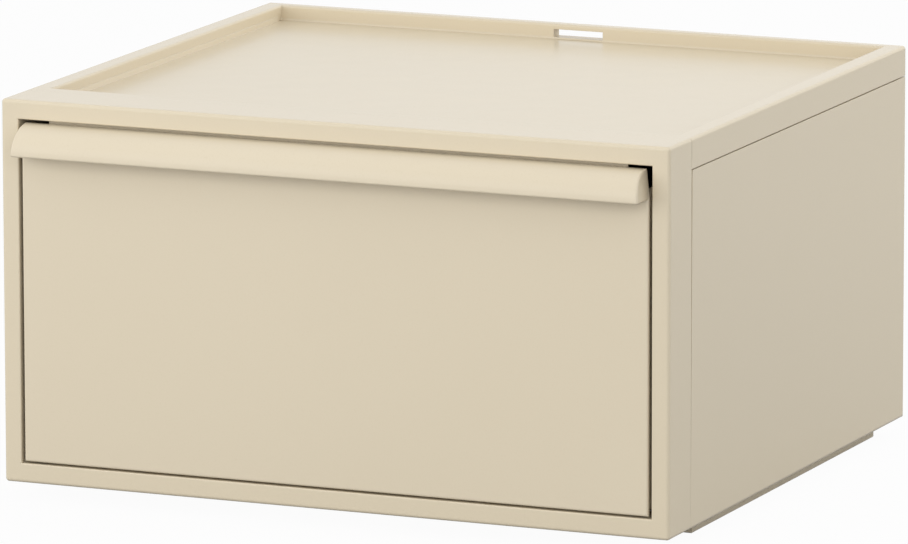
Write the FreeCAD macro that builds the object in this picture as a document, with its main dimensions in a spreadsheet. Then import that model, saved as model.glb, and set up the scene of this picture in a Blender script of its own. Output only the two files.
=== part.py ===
"""Closet drawer case: moulded panels that clip together round one drawer on rollers.

+Z is up, -Y is the front and +X the right-hand side. The origin is the middle of the plinth's
underside, halfway between the front and rear faces of the case. Sizes are in millimetres.
"""
import FreeCAD, Part
import os
import re
import Sketcher
from FreeCAD import Rotation, Vector

# Driving sizes
SIZES = {
    # Case outside
    "case_width": 400.0,
    "case_depth": 360.0,
    "carcass_height": 216.9,      # lower edge of the frame to the top of the rim
    "edge_round": 2.0,            # outer edges of frame and panels
    # Front frame
    "frame_depth": 31.4,
    "stile_width": 10.4,
    "top_bar": 10.9,
    "bottom_bar": 11.2,
    "frame_wall": 2.4,
    "opening_round": 0.8,
    "lip_setback": 5.6,           # front face to the lip behind the gap over the drawer
    "lip_wall": 2.0,
    "lip_drop": 12.0,
    "lip_notch": 16.4,            # cut off each end of the lip
    # Joints between the panels
    "seam_gap": 0.4,
    "skirt_gap": 0.7,             # top panel's skirt to the side panel under it
    "panel_gap_low": 0.05,        # frame to the side panel, at its lower corner
    "panel_gap_high": 1.3,        # and at its upper corner
    "seam_depth": 1.0,            # of the seam down each side of the top panel
    "tongue_wall": 2.4,
    "tongue_reach": 10.0,         # past the seam
    "tongue_root": 10.0,          # back from the seam
    "tongue_clearance": 0.2,
    # Top panel
    "skirt_height": 17.1,
    "rim_width": 11.6,            # at the sides
    "rim_rear": 7.9,
    "rim_round": 1.5,
    "recess_depth": 8.8,
    "recess_floor": 2.0,
    "front_land": 10.0,           # seam to the front of the recess
    "foot_ledge_width": 1.0,      # step at the foot of each side rim
    "foot_ledge_head": 0.4,
    "foot_ledge_height": 2.7,
    "foot_ledge_gap": 6.0,        # rear end of the ledge to the rear rim
    "foot_round": 1.2,            # at the foot of the rear rim
    "slot_width": 30.7,
    "slot_height": 4.7,
    "slot_sill": 1.0,
    "slot_wall": 2.4,
    # Bottom panel
    "plinth_drop": 10.0,
    "plinth_inset": 12.9,
    "plinth_front": 65.5,
    "plinth_rear": 15.0,
    "plinth_wall": 2.6,
    "plinth_round": 0.8,
    "groove_wall": 2.4,
    "groove_height": 12.0,
    # Side and back panels
    "rear_return": 10.0,
    "back_wall": 2.4,
    # Runners
    "runner_width": 7.8,
    "stop_length": 2.4,           # at the front
    "rear_stop_length": 7.4,
    "stop_height": 5.5,
    "stop_gap": 0.3,
    # Rollers and their pins
    "roller_inset": 7.0,          # tub's side to the middle of the roller
    "roller_width": 8.0,
    "roller_floor_gap": 0.7,      # front roller to the frame's lower wall
    "roller_top_gap": 0.8,        # rear roller to the tub's base
    "roller_round": 0.6,
    "running_gap": 0.3,
    "pin_radius": 1.5,
    "pin_hole_clearance": 0.03,
    "bore_clearance": 0.08,
    "cheek_wall": 2.2,
    "cheek_gap": 0.4,
    "cheek_reach": 6.0,
    "cheek_drop": 3.5,
    # Drawer front
    "gap_side": 2.0,
    "gap_below": 1.2,
    "gap_above": 1.9,
    "front_wall": 2.3,
    "front_return": 7.7,
    "front_return_wall": 2.0,
    "front_return_inset": 13.0,   # edge of the drawer front to its side returns
    "front_round": 1.2,
    # Tub
    "tub_side_gap": 3.0,
    "tub_base_gap": 1.8,
    "tub_rim_gap": 2.3,           # rim to the lip above it
    "tub_rear_gap": 12.8,         # tub to the back panel
    "tub_wall": 2.2,
    "tub_floor": 2.2,
    "tub_corner": 8.0,
    "tub_base_round": 4.0,
    "skid_width": 6.0,
    "skid_height": 0.6,
    "bead_width": 1.3,            # round the outside of the rim
    "bead_height": 3.0,
    "lug_width": 9.5,
    "lug_length": 22.0,
    "lug_gap": 2.3,               # lug to the top of the opening
    # Pull handle
    "handle_projection": 15.6,
    "handle_wall": 2.4,
    "handle_flange": 2.0,
    "handle_lip": 1.3,
    "handle_web": 3.0,
    "handle_draft": 2.0,          # each end leans in by this much at the top
    "handle_round": 1.2,          # along the lower edge
    "handle_end_round": 1.1,
    "tab_width": 12.0,
    "tab_height": 3.0,
    "tab_inset": 37.9,            # end of the drawer front to the middle of the nearest tab
    "tab_rise": 1.2,              # handle's lower edge to the tab
    "tab_behind": 2.3,
    "tab_hook": 1.0,
    "tab_clearance": 0.3,
    "tab_shelf_gap": 2.0,         # hooks to the upper return of the drawer front below them
    # Screws
    "screw_radius": 1.45,
    "screw_clearance": 0.05,
    "screw_hole_clearance": 0.3,
    "screw_reach": 6.2,
    "screw_head_radius": 3.0,
    "screw_head_height": 2.0,
    "screw_inset": 67.0,
    "screw_edge": 30.0,
    "boss_radius": 4.0,
}
TAB_COUNT = 4
CUT_MARGIN = 1.0                  # a cut runs this far past the faces that it opens
NEAR = 0.01

# Places that several pieces share, worked out from the sizes
SIDE = "(case_width / 2)"
FRONT = "(-case_depth / 2)"
REAR = "(case_depth / 2)"
BASE = "plinth_drop"
TOP = "(plinth_drop + carcass_height)"
SEAM = f"({FRONT} + frame_depth)"
SKIN = "(frame_wall + tongue_clearance)"
TONGUE_OUT = f"({SIDE} - {SKIN})"
TONGUE_IN = f"({TONGUE_OUT} - tongue_wall)"
FLANGE_TOP = f"({BASE} + {SKIN})"
OPENING = f"({SIDE} - stile_width)"
OPENING_LOW = f"({BASE} + bottom_bar)"
OPENING_HIGH = f"({TOP} - top_bar)"
SKIRT_LOW = f"({TOP} - skirt_height)"
RIM_IN = f"({SIDE} - rim_width)"
RIM_REAR = f"({REAR} - rim_rear)"
RECESS_FRONT = f"({SEAM} + front_land)"
RECESS_FLOOR = f"({TOP} - recess_depth)"
BACK_REAR = f"({REAR} - {SKIN} - tongue_clearance)"
BACK_FRONT = f"({BACK_REAR} - back_wall)"
PLINTH_SIDE = f"({SIDE} - plinth_inset)"
PLINTH_FRONT = f"({FRONT} + plinth_front)"
PLINTH_REAR = f"({REAR} - plinth_rear)"
FRONT_HALF = f"({OPENING} - gap_side)"
FRONT_LOW = f"({OPENING_LOW} + gap_below)"
FRONT_HIGH = f"({OPENING_HIGH} - gap_above)"
FRONT_BACK = f"({FRONT} + front_wall)"
TUB_HALF = f"({OPENING} - tub_side_gap)"
TUB_FRONT = f"({FRONT_BACK} + front_return)"
TUB_REAR = f"({BACK_FRONT} - tub_rear_gap)"
TUB_BASE = f"({OPENING_LOW} + tub_base_gap)"
TUB_RIM = f"({OPENING_HIGH} - lip_drop - tub_rim_gap)"
LUG_TOP = f"({OPENING_HIGH} - lug_gap)"
SKID_LOW = f"({TUB_BASE} - skid_height)"
ROLLER_X = f"({TUB_HALF} - roller_inset)"
ROLLER_RADIUS = f"(({SKID_LOW} - running_gap - roller_floor_gap - frame_wall - {BASE}) / 2)"
FRONT_ROLLER_Y = f"({SEAM} - cheek_reach)"
FRONT_ROLLER_Z = f"({SKID_LOW} - running_gap - {ROLLER_RADIUS})"
RUNNER_FRONT = f"({PLINTH_FRONT} + plinth_wall + tongue_clearance)"
RUNNER_REAR = f"({PLINTH_REAR} - plinth_wall - tongue_clearance)"
REAR_ROLLER_Y = f"({RUNNER_REAR} - rear_stop_length - stop_gap - {ROLLER_RADIUS})"
REAR_ROLLER_Z = f"({TUB_BASE} - roller_top_gap - {ROLLER_RADIUS})"
RUNNER_TOP = f"({REAR_ROLLER_Z} - {ROLLER_RADIUS} - running_gap)"
CHEEK_IN = "(roller_width / 2 + cheek_gap)"
CHEEK_OUT = f"({CHEEK_IN} + cheek_wall)"
HANDLE_CENTRE = f"({FRONT_HIGH} - handle_projection)"
HANDLE_LOW = f"({HANDLE_CENTRE} - handle_lip)"
TAB_LOW = f"({HANDLE_LOW} + tab_rise)"
SCREW_X = f"({TUB_HALF} - screw_inset)"
SCREW_HEIGHTS = (f"({FRONT_LOW} + screw_edge)", f"({TUB_RIM} - screw_edge)")
SIGNS = {"left": "-", "right": ""}

doc = FreeCAD.newDocument("closet_drawer_case")
sheet = doc.addObject("Spreadsheet::Sheet", "Sizes")
for row, (name, size) in enumerate(SIZES.items(), 1):
    sheet.set(f"A{row}", name)
    sheet.set(f"B{row}", str(size))
    sheet.setAlias(f"B{row}", name)
doc.recompute()
nodes = []


# Expressions
def bound(text):
    """Name each size in an expression by its cell of the sheet."""
    return re.sub(r"[a-z_]+", lambda word: f"Sizes.{word.group()}", text)


def value(text):
    """Give the number that an expression comes to."""
    return float(sheet.evalExpression(bound(text)))


def pair(low_x, high_x, low_y, high_y):
    """Give a rectangle on the right-hand side and its mirror image on the left."""
    right = (low_x, high_x, low_y, high_y)
    return [right, on_side("left", right)]


def on_side(side, rectangle):
    """Give a right-hand rectangle as it lies on the named side."""
    low_x, high_x, low_y, high_y = rectangle
    if side == "right":
        return rectangle
    return (f"-({high_x})", f"-({low_x})", low_y, high_y)


def past(text):
    """Give a place one cut margin further along."""
    return f"({text} + {CUT_MARGIN})"


def before(text):
    """Give a place one cut margin further back."""
    return f"({text} - {CUT_MARGIN})"


# Bodies, sketches and features
def new_body(label):
    """Start the body of one piece."""
    body = doc.addObject("PartDesign::Body", label)
    body.Label = label
    nodes.append(body)
    return body


def new_sketch(body, name, role, offset):
    """Start a sketch on an origin plane of its body, moved along the plane's normal."""
    sketch = body.newObject("Sketcher::SketchObject", f"{name}_sketch")
    plane = next(item for item in body.Origin.OriginFeatures if item.Role == role)
    sketch.AttachmentSupport = [(plane, "")]
    sketch.MapMode = "FlatFace"
    sketch.setExpression(".AttachmentOffset.Base.z", bound(offset))
    return sketch


def hold(sketch, kind, geometry, point, text):
    """Hold one coordinate of a point at an expression's value, measured from the origin."""
    index = sketch.addConstraint(Sketcher.Constraint(kind, -1, 1, geometry, point, value(text)))
    sketch.setExpression(f"Constraints[{index}]", bound(text))


def draw_outline(sketch, points):
    """Draw straight lines through points in turn, and join their ends in a ring."""
    corners = [Vector(value(across), value(up), 0) for across, up in points]
    first = sketch.GeometryCount
    for start, end in zip(corners, corners[1:] + corners[:1]):
        sketch.addGeometry(Part.LineSegment(start, end), False)
    for step in range(len(points)):
        follower = first + (step + 1) % len(points)
        sketch.addConstraint(Sketcher.Constraint("Coincident", first + step, 2, follower, 1))
    for step, (across, up) in enumerate(points):
        hold(sketch, "DistanceX", first + step, 1, across)
        hold(sketch, "DistanceY", first + step, 1, up)


def draw_rectangle(sketch, rectangle):
    """Draw a rectangle given by its low and high places across and up."""
    left, right, low, high = rectangle
    draw_outline(sketch, [(left, low), (right, low), (right, high), (left, high)])


def draw_circle(sketch, across, up, radius):
    """Draw a circle."""
    centre = Vector(value(across), value(up), 0)
    circle = sketch.addGeometry(Part.Circle(centre, Vector(0, 0, 1), value(radius)), False)
    hold(sketch, "DistanceX", circle, 3, across)
    hold(sketch, "DistanceY", circle, 3, up)
    index = sketch.addConstraint(Sketcher.Constraint("Radius", circle, value(radius)))
    sketch.setExpression(f"Constraints[{index}]", bound(radius))


def draw_quarter(sketch, radius, back):
    """Draw the handle's quarter round, closed by a line down the back and one along the bottom."""
    middle = Vector(value(FRONT), value(HANDLE_CENTRE), 0)
    size = value(radius)
    rise = (size ** 2 - (middle.x - value(back)) ** 2) ** 0.5
    top = Vector(value(back), middle.y + rise, 0)
    nose = Vector(middle.x - size, middle.y, 0)
    low_nose = Vector(nose.x, value(HANDLE_LOW), 0)
    low_back = Vector(top.x, low_nose.y, 0)
    angles = [(point - middle).getAngle(Vector(1, 0, 0)) for point in (top, nose)]
    round_part = Part.ArcOfCircle(Part.Circle(middle, Vector(0, 0, 1), size), *angles)
    arc = sketch.addGeometry(round_part, False)
    front = sketch.addGeometry(Part.LineSegment(nose, low_nose), False)
    bottom = sketch.addGeometry(Part.LineSegment(low_nose, low_back), False)
    rear = sketch.addGeometry(Part.LineSegment(low_back, top), False)
    for first, end, second, start in ((arc, 2, front, 1), (front, 2, bottom, 1),
                                      (bottom, 2, rear, 1), (rear, 2, arc, 1)):
        sketch.addConstraint(Sketcher.Constraint("Coincident", first, end, second, start))
    sketch.addConstraint(Sketcher.Constraint("Vertical", front))
    sketch.addConstraint(Sketcher.Constraint("Horizontal", bottom))
    sketch.addConstraint(Sketcher.Constraint("Vertical", rear))
    hold(sketch, "DistanceX", arc, 3, FRONT)
    hold(sketch, "DistanceY", arc, 3, HANDLE_CENTRE)
    hold(sketch, "DistanceX", arc, 1, back)
    hold(sketch, "DistanceY", arc, 2, HANDLE_CENTRE)
    hold(sketch, "DistanceY", bottom, 1, HANDLE_LOW)
    index = sketch.addConstraint(Sketcher.Constraint("Radius", arc, size))
    sketch.setExpression(f"Constraints[{index}]", bound(radius))


def add(body, name, sketch, length, midplane=False):
    """Pad a sketch along its plane's normal."""
    feature = body.newObject("PartDesign::Pad", name)
    feature.Profile = sketch
    feature.Midplane = midplane
    feature.setExpression("Length", bound(length))
    doc.recompute()


def remove(body, name, sketch, length, midplane=False, reverse=False):
    """Pocket a sketch against its plane's normal, or along it, and see that it cuts."""
    whole = body.Tip.Shape.Volume
    feature = body.newObject("PartDesign::Pocket", name)
    feature.Profile = sketch
    feature.Midplane = midplane
    feature.Reversed = reverse
    feature.setExpression("Length", bound(length))
    doc.recompute()
    if feature.Shape.Volume >= whole:
        raise RuntimeError(f"{body.Label}: {name} cuts nothing")


def add_slab(body, name, rectangles, low, high):
    """Add upright blocks on the given rectangles, from one height to another."""
    sketch = new_sketch(body, name, "XY_Plane", low)
    for rectangle in rectangles:
        draw_rectangle(sketch, rectangle)
    add(body, name, sketch, f"{high} - {low}")


def cut_slab(body, name, rectangles, low, high):
    """Cut upright blocks on the given rectangles, from one height down to another."""
    sketch = new_sketch(body, name, "XY_Plane", high)
    for rectangle in rectangles:
        draw_rectangle(sketch, rectangle)
    remove(body, name, sketch, f"{high} - {low}")


def lies_at(edge, **planes):
    """Say whether an edge lies in every one of the given planes."""
    box = edge.BoundBox
    ends = {"x": (box.XMin, box.XMax), "y": (box.YMin, box.YMax), "z": (box.ZMin, box.ZMax)}
    for axis, text in planes.items():
        if max(abs(end - value(text)) for end in ends[axis]) > NEAR:
            return False
    return True


def lies_beyond(edge, text):
    """Say whether an edge lies further out to one side than a given place."""
    outs = [corner.X for corner in edge.Vertexes]
    limit = value(text) - NEAR
    return min(outs) > limit or max(outs) < -limit


def round_chosen(body, name, radius, chosen):
    """Round the edges of a body that pass a test."""
    base = body.Tip
    names = [f"Edge{number}" for number, edge in enumerate(base.Shape.Edges, 1) if chosen(edge)]
    feature = body.newObject("PartDesign::Fillet", name)
    feature.Base = (base, names)
    feature.setExpression("Radius", bound(radius))
    doc.recompute()


def round_edges(body, name, radius, choices):
    """Round the edges of a body that lie in any one of the given sets of planes."""
    round_chosen(body, name, radius, lambda edge: any(lies_at(edge, **planes) for planes in choices))


def pin_holes(body, name, across, up):
    """Bore both pairs of cheeks for their pins."""
    for side, sign in SIGNS.items():
        far_face = f"({sign}{ROLLER_X} + {CHEEK_OUT})"
        sketch = new_sketch(body, f"{name}_{side}", "YZ_Plane", far_face)
        draw_circle(sketch, across, up, "pin_radius + pin_hole_clearance")
        remove(body, f"{name}_{side}", sketch, f"2 * {CHEEK_OUT}")


def cheeks(across):
    """Give the rectangles of both pairs of cheeks beside the rollers at one place along the case."""
    span = (f"{across} - cheek_reach", f"{across} + cheek_reach")
    inner = pair(f"{ROLLER_X} - {CHEEK_OUT}", f"{ROLLER_X} - {CHEEK_IN}", *span)
    outer = pair(f"{ROLLER_X} + {CHEEK_IN}", f"{ROLLER_X} + {CHEEK_OUT}", *span)
    return inner + outer


def lean_ends(body, back, depth):
    """Lean both ends of a piece inwards, from the handle's lower edge up to the top of the front."""
    sketch = new_sketch(body, "end_lean", "XZ_Plane", f"-{back}")
    for sign in SIGNS.values():
        top = f"{sign}({FRONT_HALF} - handle_draft)"
        end = f"{sign}{FRONT_HALF}"
        draw_outline(sketch, [(top, FRONT_HIGH), (end, FRONT_HIGH), (end, HANDLE_LOW)])
    remove(body, "end_lean", sketch, depth, reverse=True)


def screw_spots():
    """Give the places of the four screws, across and up."""
    return [(f"{sign}{SCREW_X}", height) for sign in SIGNS.values() for height in SCREW_HEIGHTS]


def tab_spans(room):
    """Give the left and right ends of each handle tab, with room at each side."""
    spans = []
    for number in range(TAB_COUNT):
        middle = f"({2 * number / (TAB_COUNT - 1) - 1} * ({FRONT_HALF} - tab_inset))"
        spans.append((f"{middle} - tab_width / 2 - {room}", f"{middle} + tab_width / 2 + {room}"))
    return spans


# Front frame: a collar of channel section, open to the rear, with the lip and the roller seats
def make_front_frame():
    body = new_body("front_frame")
    add_slab(body, "collar", [(f"-{SIDE}", SIDE, FRONT, SEAM)], BASE, TOP)
    outer = [{"y": FRONT, axis: place} for axis, place in
             (("x", SIDE), ("x", f"-{SIDE}"), ("z", BASE), ("z", TOP))]
    corners = [{"x": across, "z": up} for across in (SIDE, f"-{SIDE}") for up in (BASE, TOP)]
    round_edges(body, "outer_edges", "edge_round", outer + corners)
    through = (before(FRONT), past(SEAM))
    cut_slab(body, "opening", [(f"-{OPENING}", OPENING, *through)], OPENING_LOW, OPENING_HIGH)
    inner = [{"y": FRONT, axis: place} for axis, place in
             (("x", OPENING), ("x", f"-{OPENING}"), ("z", OPENING_LOW), ("z", OPENING_HIGH))]
    round_edges(body, "opening_edges", "opening_round", inner)
    channel_in = f"({OPENING} + frame_wall)"
    channel_out = f"({SIDE} - frame_wall)"
    channel = (f"{FRONT} + frame_wall", past(SEAM))
    low, high = f"({BASE} + frame_wall)", f"({TOP} - frame_wall)"
    across = (f"-{channel_in}", channel_in, *channel)
    cut_slab(body, "side_channels", pair(channel_in, channel_out, *channel), low, high)
    cut_slab(body, "top_channel", [across], f"({OPENING_HIGH} + frame_wall)", high)
    cut_slab(body, "bottom_channel", [across], low, f"({OPENING_LOW} - frame_wall)")
    lip_front = f"({FRONT} + lip_setback)"
    lip = (f"lip_notch - {OPENING}", f"{OPENING} - lip_notch", lip_front, f"{lip_front} + lip_wall")
    add_slab(body, "lip", [lip], f"({OPENING_HIGH} - lip_drop)", f"({OPENING_HIGH} + frame_wall / 2)")
    wall_low = f"({OPENING_LOW} - frame_wall)"
    add_slab(body, "roller_cheeks", cheeks(FRONT_ROLLER_Y), f"({BASE} + frame_wall / 2)",
             f"({OPENING_LOW} - frame_wall / 2)")
    window = pair(f"{ROLLER_X} - {CHEEK_IN}", f"{ROLLER_X} + {CHEEK_IN}",
                  f"{FRONT_ROLLER_Y} - cheek_reach", past(SEAM))
    cut_slab(body, "roller_windows", window, wall_low, OPENING_LOW)
    pin_holes(body, "pin_hole", FRONT_ROLLER_Y, FRONT_ROLLER_Z)


# Top panel: a tray with a hollow rim, a tongue for the frame and a slot in the rear rim
def make_top_panel():
    body = new_body("top_panel")
    add_slab(body, "tray", [(f"-{SIDE}", SIDE, SEAM, REAR)], SKIRT_LOW, TOP)
    sides = (SIDE, f"-{SIDE}")
    outer = [{"y": REAR, "z": TOP}]
    outer += [{"x": side, "z": TOP} for side in sides] + [{"x": side, "y": REAR} for side in sides]
    round_edges(body, "outer_edges", "edge_round", outer)
    recess = (f"-{RIM_IN}", RIM_IN, RECESS_FRONT, RIM_REAR)
    cut_slab(body, "recess", [recess], RECESS_FLOOR, TOP)
    rim = [{"x": side, "z": TOP} for side in (RIM_IN, f"-{RIM_IN}")]
    rim += [{"y": end, "z": TOP} for end in (RECESS_FRONT, RIM_REAR)]
    round_edges(body, "rim_edges", "rim_round", rim)
    round_edges(body, "rear_foot", "foot_round", [{"y": RIM_REAR, "z": RECESS_FLOOR}])
    ledge_rear = f"({RIM_REAR} - foot_ledge_gap)"
    ledge_top = f"({RECESS_FLOOR} + foot_ledge_height)"
    ledges = new_sketch(body, "foot_ledges", "XZ_Plane", f"-{ledge_rear}")
    for sign in SIGNS.values():
        wall = f"{sign}{RIM_IN}"
        foot = f"{sign}({RIM_IN} - foot_ledge_width)"
        head = f"{sign}({RIM_IN} - foot_ledge_head)"
        draw_outline(ledges, [(wall, RECESS_FLOOR), (foot, RECESS_FLOOR), (head, ledge_top), (wall, ledge_top)])
    add(body, "foot_ledges", ledges, f"{ledge_rear} - {RECESS_FRONT}")
    inside = (f"frame_wall - {SIDE}", f"{SIDE} - frame_wall", SEAM, f"{REAR} - frame_wall")
    underside = f"({RECESS_FLOOR} - recess_floor)"
    cut_slab(body, "underside", [inside], SKIRT_LOW, underside)
    pan = (f"-({RIM_IN} + recess_floor)", f"{RIM_IN} + recess_floor",
           f"{RECESS_FRONT} - recess_floor", f"{RIM_REAR} + recess_floor")
    cut_slab(body, "rim_channel", [inside, pan], underside, f"({TOP} - {SKIN})")
    tongue = (f"tongue_reach - {OPENING}", f"{OPENING} - tongue_reach",
              f"{SEAM} - tongue_reach", f"{RECESS_FRONT} - recess_floor / 2")
    add_slab(body, "tongue", [tongue], f"({TOP} - {SKIN} - tongue_wall)", f"({TOP} - {SKIN})")
    surround = ("-slot_width / 2 - slot_wall", "slot_width / 2 + slot_wall",
                f"{RIM_REAR} + recess_floor / 2", f"{REAR} - frame_wall / 2")
    add_slab(body, "slot_surround", [surround], f"({RECESS_FLOOR} + tongue_clearance)",
             f"({TOP} - frame_wall / 2)")
    slot = ("-slot_width / 2", "slot_width / 2", before(RIM_REAR), past(REAR))
    sill = f"({RECESS_FLOOR} + slot_sill)"
    cut_slab(body, "rear_slot", [slot], sill, f"({sill} + slot_height)")
    seams = pair(f"{SIDE} - seam_depth", past(SIDE), SEAM, f"{SEAM} + seam_gap")
    cut_slab(body, "side_seams", seams, SKIRT_LOW, TOP)


# Bottom panel: a floor that drops to the plinth, with a tongue for the frame and side grooves
def make_bottom_panel():
    body = new_body("bottom_panel")
    half = f"({TONGUE_OUT} - tongue_clearance)"
    add_slab(body, "flange", [(f"-{half}", half, f"{SEAM} + seam_gap", BACK_REAR)], BASE, FLANGE_TOP)
    plinth = (f"-{PLINTH_SIDE}", PLINTH_SIDE, PLINTH_FRONT, PLINTH_REAR)
    add_slab(body, "plinth", [plinth], "0", FLANGE_TOP)
    round_edges(body, "plinth_edges", "plinth_round", [{"z": "0"}])
    dish = (f"plinth_wall - {PLINTH_SIDE}", f"{PLINTH_SIDE} - plinth_wall",
            f"{PLINTH_FRONT} + plinth_wall", f"{PLINTH_REAR} - plinth_wall")
    cut_slab(body, "dish", [dish], "plinth_wall", FLANGE_TOP)
    tongue_half = f"({ROLLER_X} - {CHEEK_OUT} - tongue_reach)"
    tongue = (f"-{tongue_half}", tongue_half, f"{SEAM} - tongue_reach", f"{SEAM} + tongue_root")
    add_slab(body, "tongue", [tongue], FLANGE_TOP, f"({FLANGE_TOP} + tongue_wall)")
    groove = f"({TONGUE_IN} - tongue_clearance)"
    walls = pair(f"{groove} - groove_wall", groove, f"{SEAM} + tongue_root", f"{BACK_FRONT} - tongue_root")
    add_slab(body, "groove_walls", walls, FLANGE_TOP, f"({FLANGE_TOP} + groove_height)")


# Side panels: an outer skin with a rear return, and a tongue all round on the inside
def make_side_panel(side):
    body = new_body(f"{side}_side_panel")
    sign = SIGNS[side]
    low, high = BASE, f"({SKIRT_LOW} - skirt_gap)"
    skin = new_sketch(body, "skin", "YZ_Plane", TONGUE_OUT if side == "right" else f"-{SIDE}")
    draw_outline(skin, [(f"{SEAM} + panel_gap_low", low), (REAR, low), (REAR, high),
                        (f"{SEAM} + panel_gap_high", high)])
    add(body, "skin", skin, SKIN)
    rear_return = (f"{SIDE} - rear_return", SIDE, f"{REAR} - {SKIN}", REAR)
    add_slab(body, "rear_return", [on_side(side, rear_return)], low, high)
    outside = f"{sign}{SIDE}"
    round_edges(body, "outer_edges", "edge_round", [{"x": outside, "y": REAR}, {"x": outside, "z": BASE}])
    front, rear = f"({SEAM} - tongue_reach)", f"({BACK_FRONT} - tongue_clearance)"
    tongue_low = f"({FLANGE_TOP} + tongue_clearance)"
    tongue = (TONGUE_IN, TONGUE_OUT, front, rear)
    add_slab(body, "tongue", [on_side(side, tongue)], tongue_low, f"({SKIRT_LOW} + tongue_reach)")
    relief = (before(TONGUE_IN), TONGUE_OUT, f"{SEAM} + tongue_root", f"{rear} - tongue_root")
    cut_slab(body, "relief", [on_side(side, relief)], f"({tongue_low} + tongue_root)",
             f"({high} - tongue_root)")


# Back panel: a plate held between the tongues and the rear returns of the side panels
def make_back_panel():
    body = new_body("back_panel")
    half = f"({TONGUE_OUT} - tongue_clearance)"
    plate = (f"-{half}", half, BACK_FRONT, BACK_REAR)
    add_slab(body, "plate", [plate], f"({FLANGE_TOP} + tongue_clearance)", RECESS_FLOOR)


# Runners: a track for each rear roller, with a stop at each end
def make_runner(side):
    body = new_body(f"{side}_runner")
    across = (f"{ROLLER_X} - runner_width / 2", f"{ROLLER_X} + runner_width / 2")
    track = (*across, RUNNER_FRONT, RUNNER_REAR)
    add_slab(body, "track", [on_side(side, track)], "plinth_wall", RUNNER_TOP)
    front_stop = (*across, RUNNER_FRONT, f"{RUNNER_FRONT} + stop_length")
    rear_stop = (*across, f"{RUNNER_REAR} - rear_stop_length", RUNNER_REAR)
    stops = [on_side(side, stop) for stop in (front_stop, rear_stop)]
    add_slab(body, "stops", stops, RUNNER_TOP, f"({RUNNER_TOP} + stop_height)")


# Rollers and the pins that they turn on
def make_roller(label, side, across, up):
    body = new_body(label)
    middle = f"{SIGNS[side]}{ROLLER_X}"
    sketch = new_sketch(body, "rim", "YZ_Plane", f"({middle} - roller_width / 2)")
    draw_circle(sketch, across, up, ROLLER_RADIUS)
    add(body, "rim", sketch, "roller_width")
    faces = [{"x": f"{middle} - roller_width / 2"}, {"x": f"{middle} + roller_width / 2"}]
    round_edges(body, "rim_edges", "roller_round", faces)
    bore = new_sketch(body, "bore", "YZ_Plane", f"({middle} + roller_width / 2)")
    draw_circle(bore, across, up, "pin_radius + bore_clearance")
    remove(body, "bore", bore, "roller_width")


def make_pin(label, side, across, up):
    pin = doc.addObject("Part::Cylinder", label)
    pin.Label = label
    pin.Placement.Rotation = Rotation(Vector(0, 1, 0), 90)
    pin.setExpression("Radius", bound("pin_radius"))
    pin.setExpression("Height", bound(f"2 * {CHEEK_OUT}"))
    pin.setExpression(".Placement.Base.x", bound(f"{SIGNS[side]}{ROLLER_X} - {CHEEK_OUT}"))
    pin.setExpression(".Placement.Base.y", bound(across))
    pin.setExpression(".Placement.Base.z", bound(up))
    nodes.append(pin)


# Drawer front: a skin with returns round three sides, screw bosses and slots for the handle's tabs
def make_drawer_front():
    body = new_body("drawer_front")
    add_slab(body, "skin", [(f"-{FRONT_HALF}", FRONT_HALF, FRONT, FRONT_BACK)], FRONT_LOW, FRONT_HIGH)
    edges = [{"y": FRONT, "x": across} for across in (FRONT_HALF, f"-{FRONT_HALF}")]
    round_edges(body, "front_edges", "front_round", edges + [{"y": FRONT, "z": FRONT_LOW}])
    lean_ends(body, FRONT_BACK, "front_wall")
    behind = (FRONT_BACK, TUB_FRONT)
    shelf = f"({TAB_LOW} - tab_hook - tab_shelf_gap)"
    half = f"({FRONT_HALF} - front_return_inset)"
    sides = pair(f"{half} - front_return_wall", half, *behind)
    add_slab(body, "side_returns", sides, FRONT_LOW, shelf)
    across = (f"-{half}", half, *behind)
    add_slab(body, "bottom_return", [across], FRONT_LOW, f"({FRONT_LOW} + front_return_wall)")
    add_slab(body, "top_return", [across], f"({shelf} - front_return_wall)", shelf)
    bosses = new_sketch(body, "bosses", "XZ_Plane", f"-{TUB_FRONT}")
    pilots = new_sketch(body, "pilots", "XZ_Plane", f"-{TUB_FRONT}")
    for across, up in screw_spots():
        draw_circle(bosses, across, up, "boss_radius")
        draw_circle(pilots, across, up, "screw_radius + screw_clearance")
    add(body, "bosses", bosses, "front_return")
    remove(body, "pilots", pilots, "screw_reach + screw_clearance", reverse=True)
    slots = [(*span, before(FRONT), past(FRONT_BACK)) for span in tab_spans("tab_clearance")]
    cut_slab(body, "tab_slots", slots, f"({TAB_LOW} - tab_clearance)",
             f"({TAB_LOW} + tab_height + tab_clearance)")


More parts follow.
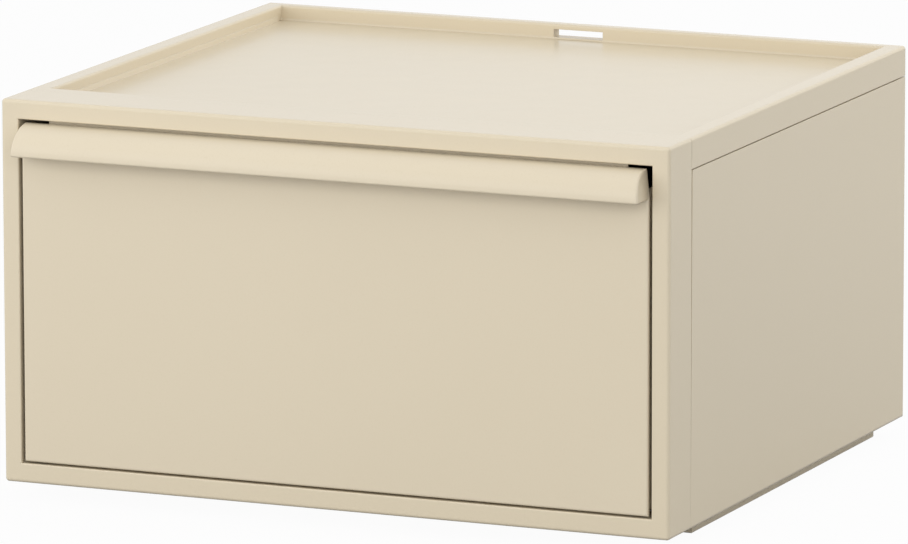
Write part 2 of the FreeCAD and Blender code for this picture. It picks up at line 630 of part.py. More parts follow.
# Tub: an open box with rounded corners, two rear lugs, skids and the rear roller seats
def make_drawer_tub():
    body = new_body("drawer_tub")
    half, rear = TUB_HALF, TUB_REAR
    add_slab(body, "block", [(f"-{half}", half, TUB_FRONT, rear)], TUB_BASE, LUG_TOP)
    inner_half, inner_front = f"({half} - tub_wall)", f"({TUB_FRONT} + tub_wall)"
    inner_rear, floor = f"({rear} - tub_wall)", f"({TUB_BASE} + tub_floor)"
    cut_slab(body, "inside", [(f"-{inner_half}", inner_half, inner_front, inner_rear)], floor, LUG_TOP)
    inner = [{"x": across, "y": along} for across in (inner_half, f"-{inner_half}")
             for along in (inner_front, inner_rear)]
    round_edges(body, "inner_corners", "tub_corner - tub_wall", inner)
    round_edges(body, "inner_base_edges", "tub_base_round - tub_floor", [{"z": floor}])
    outer = [{"x": across, "y": along} for across in (half, f"-{half}") for along in (TUB_FRONT, rear)]
    round_edges(body, "corners", "tub_corner", outer)
    round_edges(body, "base_edges", "tub_base_round", [{"z": TUB_BASE}])
    lug_front = f"({rear} - lug_length)"
    lug_in = f"({half} - lug_width)"
    cut_slab(body, "rim", [(f"-{past(half)}", past(half), before(TUB_FRONT), lug_front)], TUB_RIM, LUG_TOP)
    cut_slab(body, "rear_rim", [(f"-{lug_in}", lug_in, before(lug_front), past(rear))], TUB_RIM, LUG_TOP)
    bead_low = f"({TUB_RIM} - bead_height)"
    bead_half, bead_rear = f"({half} + bead_width)", f"({rear} + bead_width)"
    bead_front = f"({TUB_FRONT} + tub_corner)"
    rim_half, rim_rear = f"({half} - tub_wall / 2)", f"({rear} - tub_wall / 2)"
    side_beads = pair(rim_half, bead_half, bead_front, f"{rear} - tub_corner")
    add_slab(body, "side_beads", side_beads, bead_low, TUB_RIM)
    rear_bead = (f"tub_corner - {half}", f"{half} - tub_corner", rim_rear, bead_rear)
    add_slab(body, "rear_bead", [rear_bead], bead_low, TUB_RIM)
    skid_ends = (f"{TUB_FRONT} + tub_corner", f"{REAR_ROLLER_Y} - cheek_reach")
    skids = pair(f"{ROLLER_X} - skid_width / 2", f"{ROLLER_X} + skid_width / 2", *skid_ends)
    add_slab(body, "skids", skids, SKID_LOW, f"({TUB_BASE} + tub_floor / 2)")
    add_slab(body, "roller_cheeks", cheeks(REAR_ROLLER_Y), f"({REAR_ROLLER_Z} - cheek_drop)", floor)
    pin_holes(body, "pin_hole", REAR_ROLLER_Y, REAR_ROLLER_Z)
    holes = new_sketch(body, "screw_holes", "XZ_Plane", f"-{inner_front}")
    for across, up in screw_spots():
        draw_circle(holes, across, up, "screw_radius + screw_hole_clearance")
    remove(body, "screw_holes", holes, "tub_wall", reverse=True)


# Pull handle: a quarter-round shell with closed ends and hooked tabs
def make_pull_handle():
    body = new_body("pull_handle")
    outer = new_sketch(body, "outside", "YZ_Plane", "0")
    draw_quarter(outer, "handle_projection", FRONT)
    add(body, "outside", outer, f"2 * {FRONT_HALF}", midplane=True)
    lean_ends(body, FRONT, "handle_projection")
    round_edges(body, "lower_edge", "handle_round", [{"y": f"{FRONT} - handle_projection", "z": HANDLE_LOW}])
    end = f"{FRONT_HALF} - handle_draft"
    round_chosen(body, "end_edges", "handle_end_round",
                 lambda edge: lies_beyond(edge, end) and not lies_at(edge, y=FRONT))
    inner = new_sketch(body, "grip", "YZ_Plane", "0")
    draw_quarter(inner, "handle_projection - handle_wall", f"{FRONT} - handle_flange")
    remove(body, "grip", inner, f"2 * ({FRONT_HALF} - handle_web)", midplane=True)
    tab_top = f"({TAB_LOW} + tab_height)"
    root = f"({FRONT} - handle_flange / 2)"
    tabs = [(*span, root, f"{FRONT_BACK} + tab_behind") for span in tab_spans("0")]
    add_slab(body, "tabs", tabs, TAB_LOW, tab_top)
    hook_front = f"({FRONT_BACK} + tongue_clearance)"
    hooks = [(*span, hook_front, f"{FRONT_BACK} + tab_behind") for span in tab_spans("0")]
    add_slab(body, "hooks", hooks, f"({TAB_LOW} - tab_hook)", TAB_LOW)


# Screws: four pan heads inside the tub, with shanks in the bosses of the drawer front
def make_front_screws():
    pieces = []
    seat = f"({TUB_FRONT} + tub_wall)"
    for number, (across, up) in enumerate(screw_spots(), 1):
        shank = (f"shank_{number}", "screw_radius", f"{TUB_FRONT} - screw_reach",
                 f"screw_reach + tub_wall + screw_head_height")
        head = (f"head_{number}", "screw_head_radius", seat, "screw_head_height")
        for name, radius, start, length in (shank, head):
            piece = doc.addObject("Part::Cylinder", name)
            piece.Placement.Rotation = Rotation(Vector(1, 0, 0), -90)
            piece.setExpression("Radius", bound(radius))
            piece.setExpression("Height", bound(length))
            piece.setExpression(".Placement.Base.x", bound(across))
            piece.setExpression(".Placement.Base.y", bound(start))
            piece.setExpression(".Placement.Base.z", bound(up))
            pieces.append(piece)
    screws = doc.addObject("Part::MultiFuse", "front_screws")
    screws.Label = "front_screws"
    screws.Shapes = pieces
    nodes.append(screws)


make_front_frame()
make_top_panel()
make_bottom_panel()
make_back_panel()
make_drawer_tub()
make_drawer_front()
make_pull_handle()
make_front_screws()
for side in SIGNS:
    make_side_panel(side)
    make_runner(side)
    make_roller(f"front_{side}_roller", side, FRONT_ROLLER_Y, FRONT_ROLLER_Z)
    make_pin(f"front_{side}_roller_pin", side, FRONT_ROLLER_Y, FRONT_ROLLER_Z)
    make_roller(f"rear_{side}_roller", side, REAR_ROLLER_Y, REAR_ROLLER_Z)
    make_pin(f"rear_{side}_roller_pin", side, REAR_ROLLER_Y, REAR_ROLLER_Z)
doc.recompute()

# Nothing is written unless every object is sound
for item in doc.Objects:
    if "Invalid" in item.State or "Error" in item.State:
        raise RuntimeError(f"{item.Label} failed: {item.State}")
for node in nodes:
    if node.Shape.isNull() or not node.Shape.isValid():
        raise RuntimeError(f"{node.Label} has no sound shape")
os.makedirs("parts", exist_ok=True)
for node in nodes:
    node.Shape.exportStep(f"parts/{node.Label}.step")
    print(node.Label, len(node.Shape.Solids), "solid,", round(node.Shape.Volume / 1000, 2), "cm3")
reach = value(f"{REAR_ROLLER_Y} - {ROLLER_RADIUS} - stop_gap - stop_length - {RUNNER_FRONT}")
print("drawer travel", round(reach, 3), "mm, roller radius", round(value(ROLLER_RADIUS), 3), "mm")
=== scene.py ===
"""Closet drawer case: finishes of the moulded panels, slides and screws, and the studio round them."""
import logging
import math
from dataclasses import dataclass
from enum import Enum

import bmesh
import bpy
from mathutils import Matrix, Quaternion, Vector


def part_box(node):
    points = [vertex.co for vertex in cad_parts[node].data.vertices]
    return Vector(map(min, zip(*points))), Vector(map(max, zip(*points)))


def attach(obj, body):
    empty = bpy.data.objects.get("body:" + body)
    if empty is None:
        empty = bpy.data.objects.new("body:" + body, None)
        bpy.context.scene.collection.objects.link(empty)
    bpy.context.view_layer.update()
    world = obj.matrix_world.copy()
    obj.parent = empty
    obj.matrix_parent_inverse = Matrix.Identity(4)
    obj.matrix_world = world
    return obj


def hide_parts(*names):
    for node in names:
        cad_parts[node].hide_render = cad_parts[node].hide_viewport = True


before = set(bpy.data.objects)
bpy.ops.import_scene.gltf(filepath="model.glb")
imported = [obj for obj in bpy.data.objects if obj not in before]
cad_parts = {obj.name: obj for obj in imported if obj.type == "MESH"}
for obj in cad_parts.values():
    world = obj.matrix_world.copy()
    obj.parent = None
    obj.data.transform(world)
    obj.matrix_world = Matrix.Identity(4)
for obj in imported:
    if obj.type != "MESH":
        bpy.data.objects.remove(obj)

Colour = tuple[float, float, float]
Point = tuple[float, float, float]

LOG = logging.getLogger("drawer_case")
IMAGE_WIDTH = 908
MILLIMETRE = 0.001
UNIT = (0.0, 1.0)
WHITE = (1.0, 1.0, 1.0, 1.0)
NOISE_SPREAD = (0.35, 0.65)      # most of a noise pattern's values
EDGE_LIKENESS = (0.98, 0.75)     # rounded normal against the face's own, on a face and at its edge
EDGE_SAMPLES = 6


class Slot(Enum):
    """Material slots of the part's record."""

    STEEL = "steel"


class Body(Enum):
    """Bodies that added pieces ride on."""

    DRAWER = "drawer"


class RayKind(Enum):
    """Rays that see the white surroundings, by their Light Path outputs."""

    CAMERA = "Is Camera Ray"
    GLOSSY = "Is Glossy Ray"
    TRANSMISSION = "Is Transmission Ray"


class Tooling(Enum):
    """Direction of the fine lines that a tool leaves, as the stretch of the pattern along each axis."""

    ACROSS_AXLE = (1.0, 0.02, 0.02)
    ALONG_TRACK = (1.0, 0.01, 1.0)
    ALONG_SCREW = (0.2, 1.0, 0.2)


class Graph:
    """A node tree with short ways to add and join its nodes."""

    def __init__(self, tree: bpy.types.NodeTree) -> None:
        """Start from an empty tree.

        Args:
            tree: node tree of a material or of the world.
        """
        self.tree = tree
        self.tree.nodes.clear()

    def add(self, kind: str, **values: object) -> bpy.types.Node:
        """Add a node and set its plain properties.

        Args:
            kind: Blender's name of the node type.
            values: properties of the node.

        Returns:
            The new node.
        """
        node = self.tree.nodes.new(kind)
        for name, value in values.items():
            setattr(node, name, value)
        return node

    def join(self, source: bpy.types.NodeSocket, target: bpy.types.NodeSocket) -> None:
        """Link an output to an input.

        Args:
            source: output socket.
            target: input socket that it feeds.
        """
        self.tree.links.new(source, target)

    def place(self, stretch: Point = (1.0, 1.0, 1.0)) -> bpy.types.NodeSocket:
        """Give the surface's place in the piece's own frame.

        Args:
            stretch: scale of the pattern along each axis.

        Returns:
            A vector socket in metres.
        """
        mapping = self.add("ShaderNodeMapping")
        mapping.inputs["Scale"].default_value = stretch
        self.join(self.add("ShaderNodeTexCoord").outputs["Object"], mapping.inputs["Vector"])
        return mapping.outputs["Vector"]

    def noise(
        self, place: bpy.types.NodeSocket, scale: float, detail: float = 2.0
    ) -> bpy.types.NodeSocket:
        """Add a noise pattern.

        Args:
            place: vector socket that the pattern is laid on.
            scale: pattern features in a metre.
            detail: octaves of finer noise.

        Returns:
            A value socket from 0 to 1, mostly near a half.
        """
        node = self.add("ShaderNodeTexNoise")
        node.inputs["Scale"].default_value = scale
        node.inputs["Detail"].default_value = detail
        self.join(place, node.inputs["Vector"])
        return node.outputs["Fac"]

    def remap(
        self,
        value: bpy.types.NodeSocket,
        source: tuple[float, float],
        target: tuple[float, float],
    ) -> bpy.types.NodeSocket:
        """Map a range of a value to another range, held at its ends.

        Args:
            value: value socket.
            source: lowest and highest value read.
            target: values given for those two.

        Returns:
            The mapped value socket.
        """
        node = self.add("ShaderNodeMapRange", clamp=True)
        for name, number in zip(("From Min", "From Max", "To Min", "To Max"), (*source, *target)):
            node.inputs[name].default_value = number
        self.join(value, node.inputs["Value"])
        return node.outputs["Result"]

    def combine(
        self, operation: str, first: bpy.types.NodeSocket, second: bpy.types.NodeSocket
    ) -> bpy.types.NodeSocket:
        """Combine two values.

        Args:
            operation: Blender's name of the operation, such as ADD or MULTIPLY.
            first: value socket.
            second: value socket.

        Returns:
            The result's socket.
        """
        node = self.add("ShaderNodeMath", operation=operation)
        self.join(first, node.inputs[0])
        self.join(second, node.inputs[1])
        return node.outputs["Value"]

    def tint(
        self,
        factor: bpy.types.NodeSocket,
        colour: "Colour | bpy.types.NodeSocket",
        other: Colour,
    ) -> bpy.types.NodeSocket:
        """Mix a colour towards another one.

        Args:
            factor: value socket, 0 for the first colour and 1 for the other.
            colour: first colour, fixed or from a socket.
            other: second colour.

        Returns:
            The mixed colour's socket.
        """
        node = self.add("ShaderNodeMix", data_type="RGBA")
        self.join(factor, node.inputs["Factor"])
        first, second = [socket for socket in node.inputs if socket.type == "RGBA"]
        if isinstance(colour, tuple):
            first.default_value = (*colour, 1.0)
        else:
            self.join(colour, first)
        second.default_value = (*other, 1.0)
        return next(socket for socket in node.outputs if socket.type == "RGBA")

    def soft_edge(self, radius: float) -> tuple[bpy.types.NodeSocket, bpy.types.NodeSocket]:
        """Round the shading of sharp edges and find where those edges are.

        Args:
            radius: radius of the rounding in metres.

        Returns:
            The rounded normal, and a value that grows from 0 on a flat face towards its edges.
        """
        bevel = self.add("ShaderNodeBevel", samples=EDGE_SAMPLES)
        bevel.inputs["Radius"].default_value = radius
        likeness = self.add("ShaderNodeVectorMath", operation="DOT_PRODUCT")
        self.join(bevel.outputs["Normal"], likeness.inputs[0])
        self.join(self.add("ShaderNodeNewGeometry").outputs["Normal"], likeness.inputs[1])
        edge = self.remap(likeness.outputs["Value"], EDGE_LIKENESS, UNIT)
        return bevel.outputs["Normal"], edge

    def bump(
        self, height: bpy.types.NodeSocket, depth: float, normal: bpy.types.NodeSocket
    ) -> bpy.types.NodeSocket:
        """Raise a surface by a pattern.

        Args:
            height: value socket from 0 to 1.
            depth: height of the pattern in metres.
            normal: normal that the pattern stands on.

        Returns:
            The bumped normal's socket.
        """
        node = self.add("ShaderNodeBump")
        node.inputs["Distance"].default_value = depth
        self.join(height, node.inputs["Height"])
        self.join(normal, node.inputs["Normal"])
        return node.outputs["Normal"]

    def white_rays(self, camera: float = 1.0, mirror: float = 1.0) -> bpy.types.NodeSocket:
        """Tell the rays that see the white surroundings from the rest.

        Args:
            camera: value for the camera's own rays.
            mirror: value for reflected and transmitted rays.

        Returns:
            A value socket, 0 for all other rays.
        """
        rays = self.add("ShaderNodeLightPath")
        seen = self.remap(rays.outputs[RayKind.CAMERA.value], UNIT, (0.0, camera))
        for kind in (RayKind.GLOSSY, RayKind.TRANSMISSION):
            ray = self.remap(rays.outputs[kind.value], UNIT, (0.0, mirror))
            seen = self.combine("ADD", seen, ray)
        return self.remap(seen, UNIT, UNIT)


@dataclass(frozen=True)
class MouldedPlastic:
    """Satin moulded plastic with a spark grain, faint mottling, and edges lightened by rubbed wear and
    a painted highlight.
    """

    name: str
    colour: Colour
    deep_colour: Colour
    # lighter colour on the edges: partly rubbed wear, partly a painted highlight along them
    rubbed_and_sheen_colour: Colour
    fleck_colour: Colour
    roughness: tuple[float, float] = (0.235, 0.25)
    refraction: float = 1.6
    mottling: float = 7.0
    fleck: float = 900.0
    fleck_range: tuple[float, float] = (0.55, 0.72)
    fleck_strength: tuple[float, float] = (0.0, 0.5)
    sheen_patch: float = 45.0
    patch_detail: float = 3.0
    # how strongly the edges lighten, in patches: rubbed wear and a painted edge highlight
    wear_range: tuple[float, float] = (0.38, 0.6)
    wear_strength: tuple[float, float] = (0.15, 0.9)
    grain: float = 1700.0
    grain_depth: float = 0.006 * MILLIMETRE
    peel: float = 110.0
    peel_detail: float = 1.0
    peel_depth: float = 0.003 * MILLIMETRE
    edge_radius: float = 0.45 * MILLIMETRE

    def build(self) -> bpy.types.Material:
        """Build the finish's material.

        Returns:
            The material.
        """
        material = bpy.data.materials.new(self.name)
        material.use_nodes = True
        graph = Graph(material.node_tree)
        place = graph.place()
        rounded, edge = graph.soft_edge(self.edge_radius)
        shader = graph.add("ShaderNodeBsdfPrincipled")
        shader.inputs["IOR"].default_value = self.refraction
        patch = graph.noise(place, self.sheen_patch, self.patch_detail)
        mottle = graph.noise(place, self.mottling, self.patch_detail)
        colour = graph.tint(graph.remap(mottle, NOISE_SPREAD, UNIT), self.colour, self.deep_colour)
        flecks = graph.remap(graph.noise(place, self.fleck), self.fleck_range, self.fleck_strength)
        colour = graph.tint(flecks, colour, self.fleck_colour)
        # edges lighten in patches towards the edge colour: rubbed wear together with a painted edge
        # highlight
        wear = graph.remap(patch, self.wear_range, self.wear_strength)
        worn = graph.combine("MULTIPLY", edge, wear)
        colour = graph.tint(worn, colour, self.rubbed_and_sheen_colour)
        graph.join(colour, shader.inputs["Base Color"])
        graph.join(graph.remap(patch, NOISE_SPREAD, self.roughness), shader.inputs["Roughness"])
        normal = graph.bump(graph.noise(place, self.peel, self.peel_detail), self.peel_depth, rounded)
        normal = graph.bump(graph.noise(place, self.grain), self.grain_depth, normal)
        graph.join(normal, shader.inputs["Normal"])
        output = graph.add("ShaderNodeOutputMaterial")
        graph.join(shader.outputs["BSDF"], output.inputs["Surface"])
        return material


@dataclass(frozen=True)
class ToolMarked:
    """A smooth finish with the fine lines that turning, drawing or rolling leaves."""

    name: str
    tooling: Tooling
    colour: Colour
    line_colour: Colour
    worn_colour: Colour
    roughness: tuple[float, float]
    refraction: float
    metallic: float = 0.0
    lines: float = 2600.0
    line_detail: float = 3.0
    line_range: tuple[float, float] = (0.4, 0.65)
    line_strength: tuple[float, float] = (0.0, 0.6)
    line_depth: float = 0.015 * MILLIMETRE
    blotches: float = 260.0
    blotch_detail: float = 4.0
    wear_range: tuple[float, float] = (0.35, 0.6)
    wear_strength: tuple[float, float] = (0.2, 1.0)
    edge_radius: float = 0.25 * MILLIMETRE

    def build(self) -> bpy.types.Material:
        """Build the finish's material.

        Returns:
            The material.
        """
        material = bpy.data.materials.new(self.name)
        material.use_nodes = True
        graph = Graph(material.node_tree)
        rounded, edge = graph.soft_edge(self.edge_radius)
        lines = graph.noise(graph.place(self.tooling.value), self.lines, self.line_detail)
        blotch = graph.noise(graph.place(), self.blotches, self.blotch_detail)
        shader = graph.add("ShaderNodeBsdfPrincipled")
        shader.inputs["Metallic"].default_value = self.metallic
        shader.inputs["IOR"].default_value = self.refraction
        marks = graph.remap(lines, self.line_range, self.line_strength)
        colour = graph.tint(marks, self.colour, self.line_colour)
        wear = graph.remap(blotch, self.wear_range, self.wear_strength)
        worn = graph.combine("MULTIPLY", edge, wear)
        colour = graph.tint(worn, colour, self.worn_colour)
        graph.join(colour, shader.inputs["Base Color"])
        graph.join(graph.remap(blotch, NOISE_SPREAD, self.roughness), shader.inputs["Roughness"])
        graph.join(graph.bump(lines, self.line_depth, rounded), shader.inputs["Normal"])
        output = graph.add("ShaderNodeOutputMaterial")
        graph.join(shader.outputs["BSDF"], output.inputs["Surface"])
        return material


CASE_PLASTIC = MouldedPlastic(
    name="case_plastic",
    colour=(0.712, 0.623, 0.466),
    deep_colour=(0.705, 0.616, 0.459),
    # edge colour: rubbed wear and a painted edge highlight
    rubbed_and_sheen_colour=(0.755, 0.675, 0.52),
    fleck_colour=(0.682, 0.594, 0.431),
)
DRAWER_PLASTIC = MouldedPlastic(
    name="drawer_plastic",
    colour=(0.715, 0.628, 0.476),
    deep_colour=(0.708, 0.621, 0.469),
    # edge colour: rubbed wear and a painted edge highlight
    rubbed_and_sheen_colour=(0.757, 0.679, 0.53),
    fleck_colour=(0.685, 0.598, 0.44),
    mottling=5.0,
)
TRACK_PLASTIC = ToolMarked(
    name="track_plastic",
    tooling=Tooling.ALONG_TRACK,
    colour=(0.76, 0.75, 0.7),
    line_colour=(0.68, 0.66, 0.6),
    worn_colour=(0.82, 0.81, 0.78),
    roughness=(0.28, 0.42),
    refraction=1.5,
)
ROLLER_PLASTIC = ToolMarked(
    name="roller_plastic",
    tooling=Tooling.ACROSS_AXLE,
    colour=(0.78, 0.77, 0.73),
    line_colour=(0.64, 0.62, 0.57),
    worn_colour=(0.84, 0.83, 0.8),
    roughness=(0.22, 0.38),
    refraction=1.5,
)
PLATED_STEEL = ToolMarked(
    name="plated_steel",
    tooling=Tooling.ALONG_SCREW,
    colour=(0.6, 0.61, 0.62),
    line_colour=(0.48, 0.48, 0.47),
    worn_colour=(0.74, 0.74, 0.73),
    roughness=(0.24, 0.42),
    refraction=2.5,
    metallic=1.0,
)


def dress(label: str, nodes: tuple[str, ...], finish: MouldedPlastic | ToolMarked) -> None:
    """Give modelled pieces, whose shape stays as it is, one finish.

    Args:
        label: sub-assembly that the pieces belong to.
        nodes: names of the pieces.
        finish: the finish that they take.
    """
    material = finish.build()
    for node in nodes:
        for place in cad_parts[node].material_slots:
            place.material = material
        LOG.info("%s: %s in %s", label, node, finish.name)


@dataclass
class PanHeadScrews:
    """The four screws behind the drawer front, with domed heads, cross recesses and threads."""

    finish: ToolMarked
    node: str = "front_screws"
    head_radius: float = 3.0 * MILLIMETRE
    head_height: float = 2.0 * MILLIMETRE
    head_wall: float = 1.1 * MILLIMETRE
    head_bevel: float = 0.1 * MILLIMETRE
    dome_power: float = 2.6
    recess_depth: float = 1.2 * MILLIMETRE
    recess_arm: float = 1.7 * MILLIMETRE
    recess_half_width: float = 0.36 * MILLIMETRE
    recess_slope: float = 0.16 * MILLIMETRE
    recess_fade: float = 0.45
    slope_middle: float = 0.5
    thread_radius: float = 1.45 * MILLIMETRE
    root_radius: float = 1.12 * MILLIMETRE
    thread_pitch: float = 0.9 * MILLIMETRE
    thread_crest: tuple[float, float] = (0.4, 0.5)
    point_length: float = 1.6 * MILLIMETRE
    point_radius: float = 0.15 * MILLIMETRE
    sharp_angle: float = 40.0
    around: int = 96
    dome_rings: int = 22

    def profile(self, length: float) -> list[tuple[float, float]]:
        """Outline of one screw from its point to the rim of its dome.

        Args:
            length: from the point to the top of the head.

        Returns:
            Radius and height of each ring, with the point at height 0.
        """
        under_head = length - self.head_height
        outline = [(self.point_radius, 0.0)]
        height = self.point_length
        outline.append((self.root_radius, height))
        while height + self.thread_pitch < under_head:
            for share in self.thread_crest:
                outline.append((self.thread_radius, height + share * self.thread_pitch))
            outline.append((self.root_radius, height + self.thread_pitch))
            height += self.thread_pitch
        outline.append((self.root_radius, under_head))
        outline.append((self.head_radius - self.head_bevel, under_head))
        outline.append((self.head_radius, under_head + self.head_bevel))
        outline.append((self.head_radius, under_head + self.head_wall))
        return outline

    def sunk(self, across: float, up: float) -> float:
        """Depth of the cross recess at a point of the head.

        Args:
            across: place from the axis along one arm.
            up: place from the axis along the other arm.

        Returns:
            The depth in metres, 0 outside the cross.
        """
        near, far = sorted((abs(across), abs(up)))
        inside = min(self.recess_half_width - near, self.recess_arm - far) / self.recess_slope
        fade = 1.0 - self.recess_fade * far / self.recess_arm
        return self.recess_depth * fade * min(max(inside + self.slope_middle, 0.0), 1.0)

    def rings(self, length: float) -> list[list[Point]]:
        """Rings of points of one screw, each as across, along and up from its point.

        Args:
            length: from the point to the top of the head.

        Returns:
            One list of points for each ring, from the point to the middle of the head.
        """
        outline = self.profile(length)
        rim_height = outline[-1][1]
        for step in range(1, self.dome_rings):
            share = 1.0 - step / self.dome_rings
            rise = math.sqrt(1.0 - share ** self.dome_power)
            outline.append((self.head_radius * share, rim_height + (length - rim_height) * rise))
        made = []
        for number, (radius, height) in enumerate(outline):
            ring = []
            for step in range(self.around):
                angle = 2 * math.pi * step / self.around
                across = radius * math.cos(angle)
                up = radius * math.sin(angle)
                on_dome = number > len(outline) - self.dome_rings
                along = height - (self.sunk(across, up) if on_dome else 0.0)
                ring.append((across, along, up))
            made.append(ring)
        return made

    def add_screw(self, mesh: bmesh.types.BMesh, tip: Point, length: float) -> None:
        """Add one screw to a mesh.

        Args:
            mesh: mesh under construction.
            tip: the screw's point, in metres.
            length: from the point to the top of the head.
        """
        rings = [
            [mesh.verts.new(Vector(tip) + Vector(point)) for point in ring]
            for ring in self.rings(length)
        ]
        for lower, upper in zip(rings, rings[1:]):
            for step in range(self.around):
                after = (step + 1) % self.around
                mesh.faces.new((lower[step], upper[step], upper[after], lower[after]))
        mesh.faces.new(rings[0])
        mesh.faces.new(list(reversed(rings[-1])))

    def build(self) -> None:
        """Build the screws where the solids of the plain ones are."""
        low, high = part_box(self.node)
        mesh = bmesh.new()
        for across in (low.x + self.head_radius, high.x - self.head_radius):
            for up in (low.z + self.head_radius, high.z - self.head_radius):
                self.add_screw(mesh, (across, low.y, up), high.y - low.y)
        bmesh.ops.recalc_face_normals(mesh, faces=mesh.faces)
        for face in mesh.faces:
            face.smooth = True
        data = bpy.data.meshes.new("pan_head_screws")
        mesh.to_mesh(data)
        mesh.free()
        data.set_sharp_from_angle(angle=math.radians(self.sharp_angle))
        data.materials.append(self.finish.build())
        screws = bpy.data.objects.new("pan_head_screws", data)
        bpy.context.scene.collection.objects.link(screws)
        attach(screws, Body.DRAWER.value)
        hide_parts(self.node)
        LOG.info("drawer: %s stands for %s", screws.name, self.node)


@dataclass
class Carcass:
    """The case that the drawer runs in: frame, top, sides, back and bottom."""

    finish: MouldedPlastic
    panels: tuple[str, ...] = (
        "front_frame",
        "top_panel",
        "left_side_panel",
        "right_side_panel",
        "back_panel",
        "bottom_panel",
    )

    def build(self) -> None:
        """Dress the panels."""
        dress("carcass", self.panels, self.finish)


@dataclass
class RollerSlides:
    """Tracks, rollers and pins that the drawer runs on."""

    track_finish: ToolMarked
    roller_finish: ToolMarked
    pin_finish: ToolMarked
    tracks: tuple[str, ...] = ("left_runner", "right_runner")
    rollers: tuple[str, ...] = (
        "front_left_roller",
        "front_right_roller",
        "rear_left_roller",
        "rear_right_roller",
    )

    def build(self) -> None:
        """Dress the tracks, the rollers and their pins."""
        dress("slides", self.tracks, self.track_finish)
        dress("slides", self.rollers, self.roller_finish)
        dress("slides", tuple(f"{roller}_pin" for roller in self.rollers), self.pin_finish)


@dataclass
class Drawer:
    """The drawer: its tub, its front with the pull, and the screws that join them."""

    finish: MouldedPlastic
    screws: PanHeadScrews
    mouldings: tuple[str, ...] = ("drawer_tub", "drawer_front", "pull_handle")

    def build(self) -> None:
        """Dress the mouldings and build the screws."""
        dress("drawer", self.mouldings, self.finish)
        self.screws.build()


@dataclass(frozen=True)
class Softbox:
    """A large soft lamp aimed at the case, hidden from the camera and from mirror rays."""

    name: str
    place: Point
    size: tuple[float, float]
    power: float

    def build(self, target: Point) -> None:
        """Hang the lamp.

        Args:
            target: point that it faces.
        """
        lamp = bpy.data.lights.new(self.name, "AREA")
        lamp.shape = "RECTANGLE"
        lamp.size, lamp.size_y = self.size
        lamp.energy = self.power
        holder = bpy.data.objects.new(self.name, lamp)
        holder.location = self.place
        holder.visible_camera = False
        holder.visible_glossy = False
        facing = Vector(target) - Vector(self.place)
        holder.rotation_euler = facing.to_track_quat("-Z", "Y").to_euler()
        bpy.context.scene.collection.objects.link(holder)


LAMPS = (
    Softbox("left_softbox", (-1.3, -1.25, 0.5), (2.2, 0.95), 13.6),
    Softbox("front_softbox", (0.4, -1.7, 0.6), (2.2, 1.1), 9.9),
    Softbox("fill_softbox", (1.3, -1.3, 0.75), (1.4, 1.3), 1.0),
    Softbox("right_softbox", (1.15, 0.95, 1.0), (2.0, 1.7), 14.0),
)


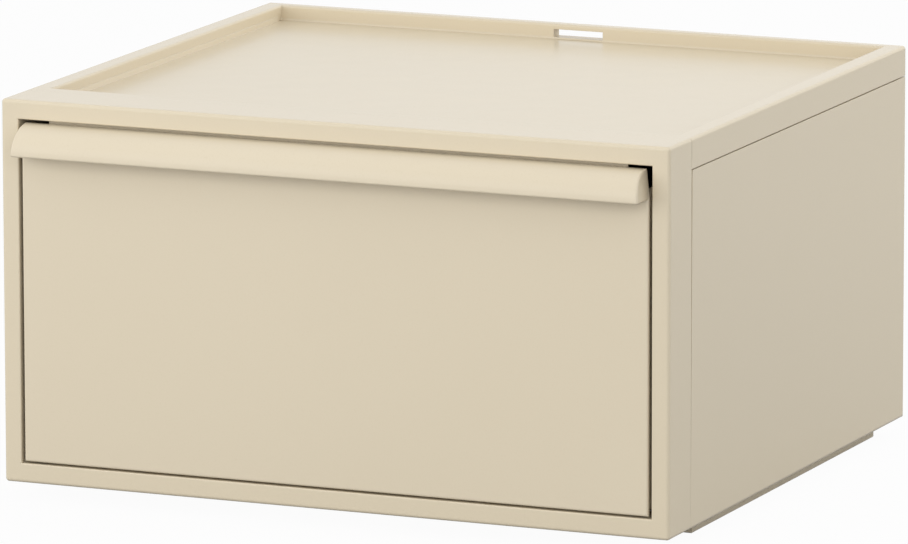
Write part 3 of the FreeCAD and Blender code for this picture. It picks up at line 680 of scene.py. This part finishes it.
@dataclass
class Studio:
    """Pale floor, white surroundings, soft lamps and the camera."""

    lamps: tuple[Softbox, ...]
    aim: Point = (0.0, 0.0, 0.11)
    floor_radius: float = 30.0
    floor_segments: int = 96
    floor_light: float = 0.26
    floor_white: float = 0.6
    floor_glow: float = 0.96
    floor_mirror_glow: float = 0.1
    ambient: float = 0.69
    white_strength: float = 1.0
    camera_azimuth: float = 23.333
    camera_elevation: float = 10.886
    camera_roll: float = -0.093
    camera_distance: float = 5.4571
    camera_target: Point = (-0.004354, 0.0, 0.111651)
    focal_pixels: float = 9650.3
    sensor_width: float = 36.0

    def build_floor(self) -> None:
        """Lay the floor under the plinth."""
        material = bpy.data.materials.new("floor_white")
        material.use_nodes = True
        graph = Graph(material.node_tree)
        lit = graph.add("ShaderNodeBsdfDiffuse")
        light, white = [(level, level, level) for level in (self.floor_light, self.floor_white)]
        graph.join(graph.tint(graph.white_rays(), light, white), lit.inputs["Color"])
        glow = graph.add("ShaderNodeEmission")
        both = graph.add("ShaderNodeMixShader")
        graph.join(graph.white_rays(self.floor_glow, self.floor_mirror_glow), both.inputs["Fac"])
        graph.join(lit.outputs["BSDF"], both.inputs[1])
        graph.join(glow.outputs["Emission"], both.inputs[2])
        output = graph.add("ShaderNodeOutputMaterial")
        graph.join(both.outputs["Shader"], output.inputs["Surface"])
        mesh = bmesh.new()
        bmesh.ops.create_circle(
            mesh, cap_ends=True, radius=self.floor_radius, segments=self.floor_segments
        )
        data = bpy.data.meshes.new("studio_floor")
        mesh.to_mesh(data)
        mesh.free()
        data.materials.append(material)
        floor = bpy.data.objects.new("studio_floor", data)
        bpy.context.scene.collection.objects.link(floor)
        LOG.info("studio: %s", floor.name)

    def build_world(self) -> None:
        """Surround the case with white that lights it at the ambient level."""
        world = bpy.data.worlds.new("white_surroundings")
        bpy.context.scene.world = world
        world.use_nodes = True
        graph = Graph(world.node_tree)
        around = graph.add("ShaderNodeBackground")
        around.inputs["Color"].default_value = WHITE
        around.inputs["Strength"].default_value = self.ambient
        white = graph.add("ShaderNodeBackground")
        white.inputs["Color"].default_value = WHITE
        white.inputs["Strength"].default_value = self.white_strength
        both = graph.add("ShaderNodeMixShader")
        graph.join(graph.white_rays(), both.inputs["Fac"])
        graph.join(around.outputs["Background"], both.inputs[1])
        graph.join(white.outputs["Background"], both.inputs[2])
        output = graph.add("ShaderNodeOutputWorld")
        graph.join(both.outputs["Shader"], output.inputs["Surface"])
        LOG.info("studio: %s", world.name)

    def build_camera(self) -> None:
        """Set the camera where the photograph was taken from."""
        turn = math.radians(self.camera_azimuth)
        lift = math.radians(self.camera_elevation)
        level = math.cos(lift)
        back = Vector((math.sin(turn) * level, -math.cos(turn) * level, math.sin(lift)))
        data = bpy.data.cameras.new("photograph_camera")
        data.sensor_fit = "HORIZONTAL"
        data.sensor_width = self.sensor_width
        data.lens = self.focal_pixels * self.sensor_width / IMAGE_WIDTH
        camera = bpy.data.objects.new("photograph_camera", data)
        camera.location = Vector(self.camera_target) + back * self.camera_distance
        level_view = (-back).to_track_quat("-Z", "Y")
        roll = Quaternion((0.0, 0.0, 1.0), math.radians(self.camera_roll))
        camera.rotation_euler = (level_view @ roll).to_euler()
        bpy.context.scene.collection.objects.link(camera)
        bpy.context.scene.camera = camera
        LOG.info("studio: %s", camera.name)

    def build(self) -> None:
        """Build the whole studio."""
        bpy.context.scene.view_settings.view_transform = "Standard"
        self.build_floor()
        self.build_world()
        for lamp in self.lamps:
            lamp.build(self.aim)
            LOG.info("studio: %s", lamp.name)
        self.build_camera()


def main() -> None:
    """Dress the case, its slides and its drawer, and build the studio."""
    logging.basicConfig(level=logging.INFO, format="%(message)s")
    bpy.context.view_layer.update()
    Carcass(CASE_PLASTIC).build()
    RollerSlides(TRACK_PLASTIC, ROLLER_PLASTIC, PLATED_STEEL).build()
    Drawer(DRAWER_PLASTIC, PanHeadScrews(PLATED_STEEL)).build()
    Studio(LAMPS).build()


if __name__ == "__main__":
    main()
